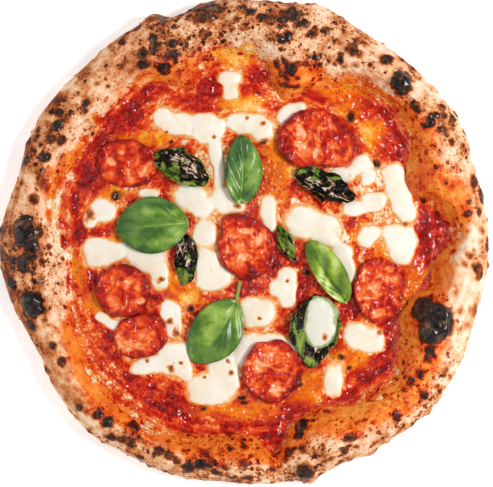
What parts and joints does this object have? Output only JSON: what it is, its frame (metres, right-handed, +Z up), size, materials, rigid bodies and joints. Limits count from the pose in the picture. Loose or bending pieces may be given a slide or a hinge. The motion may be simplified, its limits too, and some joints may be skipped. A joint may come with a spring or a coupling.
{
  "type": "nduja pizza",
  "caption": "Round wood-fired pizza with a puffed charred rim, tomato sauce, melted mozzarella, soft spiced sausage slices, fresh basil leaves and baked basil.",
  "frame": {"origin": "centre of the flat underside", "axes": "+Z up, out of the toppings; +Y towards the far side of the pizza as pictured, +X to the right"},
  "size_m": [0.3054, 0.3039, 0.0289],
  "materials": {
    "baked_dough": "matte, floury, with charred spots",
    "tomato_sauce": "wet and oily",
    "mozzarella": "soft satin",
    "nduja": "oily",
    "fresh_basil": "satin leaf",
    "baked_basil": "dark, oily"
  },
  "bodies": {
    "root": {"crust": "baked_dough", "tomato_sauce": "tomato_sauce", "mozzarella_01": "mozzarella", "mozzarella_02": "mozzarella", "mozzarella_03": "mozzarella", "mozzarella_04": "mozzarella", "mozzarella_05": "mozzarella", "mozzarella_06": "mozzarella", "mozzarella_07": "mozzarella", "mozzarella_08": "mozzarella", "mozzarella_09": "mozzarella", "mozzarella_10": "mozzarella", "mozzarella_11": "mozzarella", "mozzarella_12": "mozzarella", "mozzarella_13": "mozzarella", "mozzarella_14": "mozzarella", "mozzarella_15": "mozzarella", "mozzarella_16": "mozzarella", "mozzarella_17": "mozzarella", "mozzarella_18": "mozzarella", "mozzarella_19": "mozzarella", "mozzarella_20": "mozzarella", "mozzarella_21": "mozzarella", "mozzarella_22": "mozzarella", "mozzarella_23": "mozzarella", "mozzarella_24": "mozzarella", "mozzarella_25": "mozzarella", "mozzarella_26": "mozzarella", "mozzarella_27": "mozzarella", "mozzarella_28": "mozzarella", "mozzarella_29": "mozzarella", "mozzarella_30": "mozzarella", "mozzarella_31": "mozzarella", "mozzarella_in_leaf": "mozzarella", "nduja_slice_1": "nduja", "nduja_slice_2": "nduja", "nduja_slice_3": "nduja", "nduja_slice_4": "nduja", "nduja_slice_5": "nduja", "nduja_slice_6": "nduja", "nduja_slice_7": "nduja", "basil_leaf_1": "fresh_basil", "basil_leaf_2": "fresh_basil", "basil_leaf_3": "fresh_basil", "basil_leaf_4": "fresh_basil", "wilted_basil_1": "baked_basil", "wilted_basil_2": "baked_basil", "wilted_basil_3": "baked_basil", "wilted_basil_4": "baked_basil", "wilted_basil_5": "baked_basil"}
  },
  "joints": []
}
